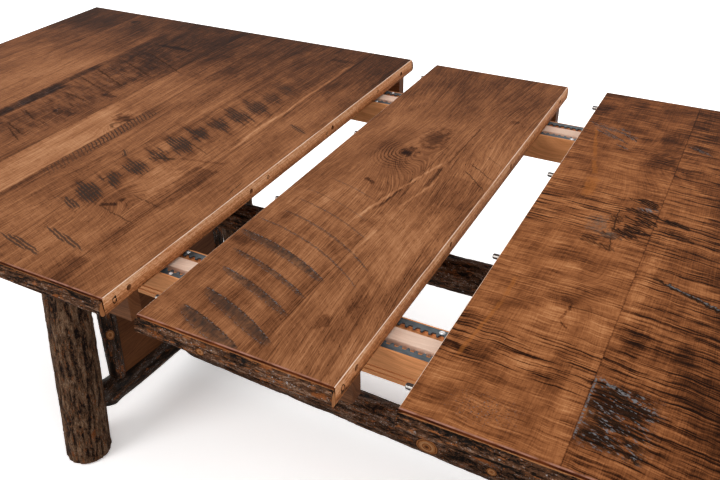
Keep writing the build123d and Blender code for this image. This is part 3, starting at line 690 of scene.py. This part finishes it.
def bark_finish(name, along, tones, fibre, bare, gloss, rough=1.0, glints=0.8):
    """Bark coloured by its own relief, darker into the furrows, partly as the bark's own colour and partly as
    painted shade: channel one is the height, two bare wood, three the rings of a knot.
    tones are its furrows, body and ridges; along is the axis, 0 to 2, that the furrows follow."""
    bark = Finish(name, coat_weight=gloss, coat_roughness=0.2, specular_ior_level=0.05)
    height, peeled, ring = bark.attribute("bark")
    places = [bark.x, bark.y, bark.z]
    run = places.pop(along)
    one, two = places
    warp = bark.noise(one / 15, run / 50, two / 15, detail=2) * 7
    fissure = bark.noise((one + warp) / 2.4, run / 11, (two + warp) / 2.4, detail=3, roughness=0.65)
    plate = bark.noise(one / 10, run / 36, two / 10 + 7, detail=3, roughness=0.6)
    grit = bark.noise(one / 1.5, run / 3, two / 1.5, detail=2, roughness=0.7)
    # painted shade: the height channel and the fissures pull the colour to near black in the furrows, beyond
    # the bark's own darker colour there
    level = (height - 0.5) * 0.66 + fissure * 0.95 * rough + plate * 0.36 + grit * 0.60 + 0.48
    furrow, body, ridge = tones
    mid = [0.35 * a + 0.65 * b for a, b in zip(furrow, body)]
    colour = bark.ramp(level, [(0.20, furrow), (0.38, mid), (0.52, body), (0.72, body), (0.95, ridge)])
    strands = bark.noise(one / 3.6, run / 22, two / 3.6 + 20, detail=2, roughness=0.6)
    colour = bark.blend(colour, fibre, strands.smooth(0.13, 0.30) * level.between(0.36, 0.85, 0.10))
    grime = (grit * 1.5 + plate * 1.5 + 0.4).clamped()
    patchy = bark.blend(bare, [c * 0.3 for c in bare], grime)
    colour = bark.blend(colour, patchy, peeled)
    # painted glints: pale specks on the higher bark that stand in for reflections from the coat
    sparks = bark.noise(one / 1.7, run / 4, two / 1.7 + 40, detail=1, roughness=0.6)
    painted_glints = sparks.smooth(0.30, 0.44) * level.smooth(0.42, 0.62) * glints
    colour = bark.blend(colour, (0.40, 0.38, 0.38), painted_glints)
    growth = (ring * 30 + grit * 2.0 + plate * 3).math("SINE").smooth(-0.2, 0.9)
    heart = bark.blend((0.30, 0.115, 0.036), (0.12, 0.034, 0.010), growth)
    heart = bark.blend(heart, (0.46, 0.24, 0.11), ring.between(0.42, 0.62, 0.06) * 0.6)
    heart = bark.blend(heart, (0.025, 0.008, 0.003), ring.smooth(0.86, 0.98).most(ring.smooth(0.20, 0.06)))
    colour = bark.blend(colour, heart, ring.smooth(0.02, 0.06))
    roughness = grit * 0.2 + 0.5
    return bark.finish(colour, roughness, fissure * 0.9 * rough + grit * 0.4)


def wave(x, y, z):
    return noise.noise(Vector((x, y, z)))


class Bark:
    """Relief of bark: the width, length and depth of its furrows, and how flaky and peeled it is."""

    def __init__(self, seed, width, length, depth, flake, peel, sway=3.0):
        self.seed = seed
        self.width, self.length, self.depth = width, length, depth
        self.flake, self.peel, self.sway = flake, peel, sway

    def read(self, a, b, along):
        """Height from 0 to 1 and peeled share at a place round a pole (a, b) and along it, in mm."""
        seed = self.seed
        width, length = self.width, self.length
        drift = wave(a / 34, b / 34, along / 80 + seed) * self.sway
        a2, b2 = a + drift, b - drift
        plates = wave(a2 / width, b2 / width, along / length + seed)
        small = wave(a2 / (width * 0.45), b2 / (width * 0.45), along / (length * 0.3) - seed)
        crease = wave(a2 / (width * 1.2) + 9, b2 / (width * 1.2), along / (length * 1.3) - seed)
        terrace = round(wave(a / 6, b / 6, along / 16 + 2 * seed) * 3) / 3
        grit = wave(a / 1.9, b / 1.9, along / 4.5 + seed)
        height = 0.62 + 1.25 * plates + 0.45 * small + self.flake * terrace * 0.3 + grit * 0.15
        height -= 0.6 * max(0.0, 1 - abs(crease) * 12)
        peeled = wave(a / 13, b / 13, along / 34 - 3 * seed) + 0.25 * grit
        peeled = min(1.0, max(0.0, (peeled - 0.62 + self.peel) * 9))
        return min(1.0, max(0.0, height)), peeled


def add_object(name, data):
    made = bpy.data.objects.new(name, data)
    bpy.context.scene.collection.objects.link(made)
    return made


def add_piece(name, mesh, body, materials):
    """Makes a bmesh a piece of the table, and frees it."""
    data = bpy.data.meshes.new(name)
    mesh.to_mesh(data)
    mesh.free()
    for material in materials:
        data.materials.append(material)
    piece = add_object(name, data)
    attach(piece, body)
    return piece


def new_grid(columns, rows):
    mesh = bmesh.new()
    bmesh.ops.create_grid(mesh, x_segments=columns, y_segments=rows, size=0.5)
    layer = mesh.verts.layers.float_color.new("bark")
    return mesh, layer


def close_and_store(mesh, name, body, materials, cad_nodes, weld=2e-5):
    """Welds the seam, caps the open ends and makes the mesh a piece of the table."""
    bmesh.ops.remove_doubles(mesh, verts=mesh.verts, dist=weld)
    rim_highlights = [edge for edge in mesh.edges if edge.is_boundary]
    caps = bmesh.ops.holes_fill(mesh, edges=rim_highlights, sides=0)["faces"]
    bmesh.ops.recalc_face_normals(mesh, faces=mesh.faces)
    for face in mesh.faces:
        face.smooth = True
    for cap in caps:
        cap.smooth = False
        cap.material_index = len(materials) - 1
    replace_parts(add_piece(name, mesh, body, materials), *cad_nodes)


def bark_pole(name, spine, radius, bark, materials, cad_nodes, knots=(), pitch=2.8, level=False):
    """Bark-covered pole. spine and radius take 0 to 1 and give millimetres; knots are
    (share along, degrees round, radius). level keeps the sections flat, as on a leg cut to the floor."""
    length = sum((spine((n + 1) / 40) - spine(n / 40)).length for n in range(40))
    girth = 2 * math.pi * radius(0.5)
    rows = max(24, round(length / (pitch * 1.25)))
    columns = max(24, round(girth / pitch))
    mesh, layer = new_grid(columns, rows)
    for vert in mesh.verts:
        share = vert.co.y + 0.5
        turn = (vert.co.x + 0.5) * 2 * math.pi
        middle = spine(share)
        step = 0.002
        heading = (spine(min(1, share + step)) - spine(max(0, share - step))).normalized()
        if level:
            heading = UP
        side = Vector((1, 0, 0)) - heading * heading.x if abs(heading.z) > 0.9 else heading.cross(UP)
        side.normalize()
        front = heading.cross(side)
        outward = side * math.cos(turn) + front * math.sin(turn)
        base = radius(share)
        along = share * length
        height, peeled = bark.read(base * math.cos(turn), base * math.sin(turn), along)
        lumps = wave(math.cos(turn) * 0.8, math.sin(turn) * 0.8, along / 85 + bark.seed)
        reach = base + bark.depth * (height - 0.7) - peeled * 0.7 + min(0, lumps) * base * 0.03
        ring = 0.0
        for at, degrees, size in knots:
            off_along = (along - at * length) / (size * 1.35)
            off_round = (turn - math.radians(degrees) + math.pi) % (2 * math.pi) - math.pi
            away = math.hypot(off_along, off_round * base / size)
            if away < 1:
                face = base * (1 / math.cos(min(off_round, 1.2)) - 0.02)
                reach = min(face, base) * 0.2 + reach * 0.2 + (base - 1.2) * 0.6
                ring = max(ring, 1.05 - away)
                height, peeled = 0.6, 0.0
            elif away < 1.5:
                collar = 1 - (away - 1) / 0.5
                reach += collar * (base - reach)
                height = max(height, collar * 0.7)
        vert[layer] = (height, peeled, ring, 1)
        vert.co = (middle + outward * reach) * MM
    close_and_store(mesh, name, "base", materials, cad_nodes)


def line(start, end):
    start, end = Vector(start), Vector(end)
    return lambda share: start.lerp(end, share)


def tapered(body_start, body_end, ends, shoulder):
    """Radius of a pole that narrows over shoulder, a share of its length, at both ends."""

    def radius(share):
        full = body_start + (body_end - body_start) * share
        near = min(share, 1 - share) / shoulder
        if near >= 1:
            return full
        return ends + (full - ends) * math.sin(near * math.pi / 2) ** 0.8

    return radius


def make_legs(bark_material, cut_material):
    low_z, high_z, lean, foot_y = 1.5, 588, 69 / 700, 345
    foot_radius, taper, leg_length, foot_edge = 52, 5, 586, 5
    for side_x, end in ENDS:
        for side_y, where in FACES:
            name = "leg_" + where + "_" + end
            seed = 3.7 + side_x * 1.3 + side_y * 0.6
            foot = (TRESTLE_X * side_x, (foot_y - low_z * lean) * side_y, low_z)
            head = (TRESTLE_X * side_x, (foot_y - high_z * lean) * side_y, high_z)

            def radius(share):
                full = foot_radius - taper * share
                rounding = max(0.0, 1 - share * leg_length / foot_edge)
                return full - 4 * rounding ** 2

            bark = Bark(seed, 6.2, 48, 2.9, 0.6, 0.04)
            bark_pole(name + "_bark", line(foot, head), radius, bark,
                      [bark_material, cut_material], [name], level=True, pitch=2.5)


def make_posts(bark_material, cut_material):
    """Posts beside the panels. Their feet stand on the stretchers and their heads under the rails."""
    for side_x, end in ENDS:
        for side_y, where in FACES:
            name = "post_" + where + "_" + end
            low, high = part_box(name)
            middle_x = (low.x + high.x) / 2 / MM
            foot = Vector((middle_x, 214 * side_y, low.z / MM + 1))
            head = Vector((middle_x, 203 * side_y, high.z / MM - 1))
            seed = 11.3 + side_x * 2.1 + side_y * 0.9
            picker = random.Random(round(seed * 10))
            if name == "post_front_left":
                knots = [(0.364, -40, 11)]
            else:
                knots = [(picker.uniform(0.25, 0.8), picker.uniform(-180, 180), 12)]
            bark = Bark(seed, 11, 70, 0.9, 0.25, 0.24)
            bark_pole(name + "_bark", line(foot, head), tapered(19.5, 23.5, 12, 0.07), bark,
                      [bark_material, cut_material], [name], knots, pitch=2.4)


def make_stretchers(bark_material, cut_material):
    """Bowed poles low between the legs. heights are of the axis near the front post, middle and back post."""
    half_length, post_y, neck_start, neck_length = 324, 250, 246, 44
    for side_x, end, heights in ((-1, "left", (107, 87.5, 87)), (1, "right", (79, 77, 98))):
        name = "stretcher_" + end
        front, middle, back = heights

        def spine(share, x=TRESTLE_X * side_x, front=front, middle=middle, back=back):
            y = -half_length + 2 * half_length * share
            reach = y / post_y
            z = middle + (back - front) / 2 * reach + ((front + back) / 2 - middle) * reach ** 2
            return Vector((x, y, z))

        def radius(share):
            y = -half_length + 2 * half_length * share
            neck = min(1, max(0, (abs(y) - neck_start) / neck_length))
            bulge = 2.5 * math.exp(-((y + 256) / 14) ** 2)
            return 32 - 14 * neck ** 2 + bulge

        knots = [(0.16, 130, 9), (0.78, 200, 10)]
        bark = Bark(21.7 + side_x * 3, 13, 80, 0.8, 0.2, 0.12)
        bark_pole(name + "_bark", spine, radius, bark, [bark_material, cut_material],
                  [name], knots, pitch=2.4)


def make_rails(bark_material, cut_material):
    for side_x, end in ENDS:
        name = "upper_rail_" + end
        x = TRESTLE_X * side_x
        bark = Bark(31.1 + side_x, 12, 80, 1.0, 0.2, 0.10)
        bark_pole(name + "_bark", line((x, -279, 545), (x, 279, 545)), tapered(28, 28, 15, 0.12), bark,
                  [bark_material, cut_material], [name], [(0.4, 60, 11)], pitch=2.8)


def make_long_poles(rough_material, cut_material):
    low = Bark(41.9, 8.5, 60, 2.2, 0.45, 0.06)
    knots = [(0.565, -8, 21), (0.683, -14, 9), (0.30, 120, 14), (0.82, 200, 13)]
    bark_pole("long_pole_low_bark", line((-649, 11.7, 88.2), (649, -11.7, 75.3)),
              tapered(37.9, 43.2, 16, 0.05), low, [rough_material, cut_material],
              ["long_pole_low"], knots, pitch=2.7)
    high = Bark(47.3, 8.5, 52, 2.4, 0.5, 0.02)
    bark_pole("long_pole_high_bark", line((-647, -9.4, 536.4), (647, 9.4, 554.2)),
              tapered(32.9, 35.9, 16, 0.05), high, [rough_material, cut_material],
              ["long_pole_high"], [(0.35, 10, 12)], pitch=2.7)


def edge_strip(name, start, end, outward, body, bark, materials, knots=()):
    """Bark edging: a bowed strip from start to end, its top inner corner on that line."""
    start, end, outward = Vector(start), Vector(end), Vector(outward)
    length = (end - start).length
    rows = round(length / 1.9)
    curve_steps, back_steps = 22, 5
    face_width, sawn_end = 33, 2.5
    mesh, layer = new_grid(curve_steps + back_steps, rows)
    fall, foot, bow = 26.0, 5.0, 6.7
    for vert in mesh.verts:
        step = round((vert.co.x + 0.5) * (curve_steps + back_steps))
        share = vert.co.y + 0.5
        along = share * length
        swell = wave(along / 120 + bark.seed, 1.5, 0)
        if step <= curve_steps:
            down = step / curve_steps
            out = foot * down + (bow + swell) * max(0.0, 1 - abs(2 * down - 0.94) ** 2.3) ** 0.55
            height, peeled = bark.read(down * face_width, 7.0, along)
            edge = min(1.0, down * 9, (1 - down) * 9)
            sawn_off = min(1.0, along / sawn_end, (length - along) / sawn_end)
            cut = bark.depth * (1 - height) * (0.25 + 0.75 * edge) * sawn_off
            ring = 0.0
            for at, place, size in knots:
                away = math.hypot((along - at) / (size * 1.2), (down * fall - place) / size)
                if away < 1:
                    cut = 1.4 + 0.6 * away
                    ring = max(ring, 1.05 - away)
                elif away < 1.6:
                    cut *= (away - 1) / 0.6
            # painted shadow: the height channel fades near the strip's top and foot, so the colour darkens
            # there, most under the plank's lip
            vert[layer] = (height * (0.35 + 0.65 * edge), peeled, ring, 1)
            out = max(0.4, out - cut)
            droop = -down * fall
        else:
            back = (step - curve_steps) / back_steps
            out = foot * max(0.0, 1 - back * 2)
            droop = -fall + fall * max(0.0, back * 2 - 1)
            if back == 1:
                out = 0.0
            vert[layer] = (0.3, 0, 0, 1)
        place = start.lerp(end, share) + outward * out + Vector((0, 0, droop))
        vert.co = place * MM
    close_and_store(mesh, name + "_relief", body, materials, [name], weld=1e-6)


def make_edging(front_material, end_material, cut_material):
    materials = [front_material, cut_material]
    z = TOP - EDGING_DROP
    for side, body in ((-1, "left_top"), (1, "right_top")):
        inner, outer = LEFT_INNER if side < 0 else RIGHT_INNER, OUTER * side
        for side_y, where in FACES:
            bark = Bark(53.1 + side * 2.2 + side_y, 4.6, 66, 3.6, 0.6, 0.06, sway=1.5)
            y = HALF_WIDTH * side_y
            edge_strip(f"{body}_bark_{where}", (inner, y, z), (outer, y, z), (0, side_y, 0), body, bark,
                       materials, [(310, 15, 7), (760, 12, 8)])
        bark = Bark(61.7 + side, 4.6, 66, 3.6, 0.6, 0.06, sway=1.5)
        edge_strip(f"{body}_bark_end", (outer, -HALF_WIDTH, z), (outer, HALF_WIDTH, z), (side, 0, 0), body,
                   bark, [end_material, cut_material], [(260, 14, 8), (880, 12, 7)])
    for side_y, where in FACES:
        bark = Bark(67.9 + side_y, 4.6, 62, 3.8, 0.6, 0.08, sway=1.5)
        y, z = HALF_WIDTH * side_y + LEAF_SHIFT, LEAF_TOP - EDGING_DROP
        edge_strip("leaf_bark_" + where, (LEAF_LEFT, y, z), (LEAF_RIGHT, y, z), (0, side_y, 0), "leaf",
                   bark, materials, [(118, 15, 6)])


# ---------------- screw heads


def make_screw_heads(material):
    """Domed cross-head screws that hold the racks."""
    slide_y, rack_offset, spacing = 390.5, 31.5, 155.6
    rack_top, head_radius, slot_depth = 708, 3.7, 1.1
    places = {"left_top": [], "right_top": []}
    for body, first, row_side in (("left_top", -230, 1), ("right_top", -243, -1)):
        for slide_side in (-1, 1):
            y = slide_side * (slide_y + row_side * rack_offset)
            places[body] += [(first + n * spacing, y) for n in range(4)]
    for body, spots in places.items():
        whole = bmesh.new()
        for n, (x, y) in enumerate(spots):
            head = bmesh.new()
            bmesh.ops.create_uvsphere(head, u_segments=24, v_segments=12, radius=1)
            turn = math.radians(31 * n)
            for vert in head.verts:
                slot_one = abs(vert.co.x * math.cos(turn) + vert.co.y * math.sin(turn))
                slot_two = abs(vert.co.x * math.sin(turn) - vert.co.y * math.cos(turn))
                rim = math.hypot(vert.co.x, vert.co.y)
                sunk = vert.co.z > 0 and rim < 0.55 and min(slot_one, slot_two) < 0.16
                rise = vert.co.z * 1.3 if vert.co.z > 0 else vert.co.z * 0.4
                height = rack_top + rise - (slot_depth if sunk else 0)
                vert.co = Vector((x + vert.co.x * head_radius, y + vert.co.y * head_radius, height))
            bmesh.ops.scale(head, vec=(MM, MM, MM), verts=head.verts)
            for face in head.faces:
                face.smooth = True
            part = bpy.data.meshes.new("head")
            head.to_mesh(part)
            head.free()
            whole.from_mesh(part)
            bpy.data.meshes.remove(part)
        add_piece(body + "_screw_heads", whole, body, [material])


# ---------------- putting it together


def dress(material, *names):
    """Gives CAD nodes a finish."""
    for name in names:
        node = nodes[name]
        node.data.materials.clear()
        node.data.materials.append(material)


def make_table():
    leg_tones = ((0.007, 0.003, 0.002), (0.086, 0.044, 0.023), (0.205, 0.122, 0.072))
    smooth_tones = ((0.006, 0.004, 0.003), (0.036, 0.020, 0.012), (0.085, 0.066, 0.056))
    rough_tones = ((0.004, 0.002, 0.001), (0.066, 0.029, 0.014), (0.170, 0.100, 0.066))
    edge_tones = ((0.004, 0.002, 0.001), (0.080, 0.033, 0.015), (0.215, 0.118, 0.072))
    orange, red_brown = (0.200, 0.062, 0.017), (0.260, 0.080, 0.022)
    leg_bark = bark_finish("leg_bark_finish", 2, leg_tones, (0.160, 0.056, 0.019), orange, 0.0, 1.0, 0.3)
    post_bark = bark_finish("post_bark_finish", 2, smooth_tones, orange, red_brown, 0.05, 0.35)
    stretcher_bark = bark_finish("stretcher_bark_finish", 1, smooth_tones, (0.110, 0.040, 0.014), red_brown,
                                 0.12, 0.35)
    rough_bark = bark_finish("rough_bark_finish", 0, rough_tones, (0.190, 0.060, 0.018), orange, 0.02)
    front_bark = bark_finish("front_bark_finish", 0, edge_tones, (0.260, 0.085, 0.024), red_brown, 0.02)
    end_bark = bark_finish("end_bark_finish", 1, edge_tones, (0.260, 0.085, 0.024), red_brown, 0.02)
    cut_wood = plain_wood("cut_end_wood", (0.50, 0.22, 0.085), (0.28, 0.10, 0.035), 2, 5.0)
    slide_wood = plain_wood("slide_maple", (0.92, 0.42, 0.175), (0.52, 0.20, 0.07), 0, 2.0, 0.8)
    centre_wood = plain_wood("centre_rail_maple", (0.94, 0.72, 0.58), (0.70, 0.47, 0.35), 0, 8.0, 0.7)
    apron_wood = plain_wood("apron_stained", (0.20, 0.080, 0.032), (0.070, 0.025, 0.010), 0, 3.0)
    end_apron_wood = plain_wood("end_apron_stained", (0.20, 0.080, 0.032), (0.070, 0.025, 0.010), 1, 3.5)
    panel_wood = plain_wood("panel_stained", (0.17, 0.062, 0.022), (0.060, 0.020, 0.007), 1, 6.0)
    rack_steel = steel("rack_steel_blued", (0.026, 0.036, 0.044), (0.120, 0.145, 0.160), 0.5, 0, 0.4)
    gear_steel = steel("gear_steel_dull", (0.06, 0.07, 0.08), (0.16, 0.18, 0.19), 0.45)
    pin_steel = pin_finish()
    zinc = steel("screw_zinc", (0.60, 0.60, 0.61), (0.85, 0.85, 0.86), 0.25)

    dress(left_half_finish(), "left_top_planks")
    dress(leaf_finish(), "leaf_planks")
    dress(right_half_finish(), "right_top_planks")
    for half in ("left_top", "right_top"):
        dress(apron_wood, half + "_apron_front", half + "_apron_back")
        dress(end_apron_wood, half + "_apron_end")
        dress(slide_wood, half + "_rail_front", half + "_rail_back", half + "_rail_packers")
        dress(rack_steel, half + "_rack_front", half + "_rack_back")
        dress(zinc, half + "_screws")
    dress(apron_wood, "leaf_skirt_front", "leaf_skirt_back")
    dress(slide_wood, "leaf_cleats")
    dress(pin_steel, "leaf_pins", "right_top_pins")
    dress(centre_wood, "centre_rail_front", "centre_rail_back")
    dress(gear_steel, "pinion_front", "pinion_back", "pinion_studs")
    dress(zinc, "bolster_screws")
    dress(panel_wood, "panel_left", "panel_right")
    dress(end_apron_wood, "bolster_left", "bolster_right")
    dress(nylon("glide_nylon_finish", (0.02, 0.018, 0.016)), "leg_glides")

    make_legs(leg_bark, cut_wood)
    make_posts(post_bark, cut_wood)
    make_stretchers(stretcher_bark, cut_wood)
    make_rails(stretcher_bark, cut_wood)
    make_long_poles(rough_bark, cut_wood)
    make_edging(front_bark, end_bark, cut_wood)
    make_screw_heads(zinc)


# ---------------- studio


def make_camera():
    data = bpy.data.cameras.new("camera")
    data.sensor_width = 36
    data.lens = 39.6
    data.shift_x, data.shift_y = 0.0169, -0.0279
    camera = add_object("camera", data)
    turn = (Matrix.Rotation(math.radians(28.99), 4, "Z") @ Matrix.Rotation(math.radians(58.27), 4, "X")
            @ Matrix.Rotation(math.radians(-1.22), 4, "Z"))
    camera.matrix_world = Matrix.Translation((0.5410, -1.2095, 1.4607)) @ turn
    bpy.context.scene.camera = camera


def make_floor():
    """Pale floor that keeps the table's shadow and is lifted to white for the camera."""
    mesh = bmesh.new()
    bmesh.ops.create_circle(mesh, cap_ends=True, segments=96, radius=14)
    data = bpy.data.meshes.new("floor")
    mesh.to_mesh(data)
    mesh.free()
    material = bpy.data.materials.new("floor_white")
    material.use_nodes = True
    tree = material.node_tree
    tree.nodes.clear()
    seen = Field(tree, add_node(tree, "ShaderNodeLightPath").outputs["Is Camera Ray"])
    matte = add_node(tree, "ShaderNodeBsdfDiffuse", seen * 0.8 + 0.8)
    glow = add_node(tree, "ShaderNodeEmission", (1, 1, 1), seen * 0.2)
    both = add_node(tree, "ShaderNodeAddShader", matte.outputs[0], glow.outputs[0])
    add_node(tree, "ShaderNodeOutputMaterial", both.outputs[0])
    data.materials.append(material)
    add_object("floor", data)


def make_world():
    """White to the eye and in reflections, dimmer as a light."""
    world = bpy.data.worlds.new("studio")
    world.use_nodes = True
    tree = world.node_tree
    path = add_node(tree, "ShaderNodeLightPath")
    seen = Field(tree, path.outputs["Is Camera Ray"])
    seen = seen.most(path.outputs["Is Glossy Ray"]).most(path.outputs["Is Transmission Ray"])
    backdrop = tree.nodes["Background"]
    feed(tree, backdrop.inputs["Color"], (1, 1, 1))
    feed(tree, backdrop.inputs["Strength"], seen * 0.5 + 0.5)
    bpy.context.scene.world = world


def add_softbox(name, direction, spread, level):
    """Far soft light from a direction. A white face square to it gains level."""
    data = bpy.data.lights.new(name, "SUN")
    data.angle = math.radians(spread)
    data.energy = level * math.pi
    lamp = add_object(name, data)
    lamp.matrix_world = Vector(direction).to_track_quat("Z", "Y").to_matrix().to_4x4()


def make_studio():
    make_camera()
    make_floor()
    make_world()
    add_softbox("overhead", (0.1, 0.2, 1), 70, 0.22)
    add_softbox("front_left", (-0.5, -1, 0.7), 30, 0.35)
    add_softbox("front_right", (0.9, -0.5, 0.6), 50, 0.2)
    bpy.context.scene.view_settings.view_transform = "Standard"


make_studio()
make_table()
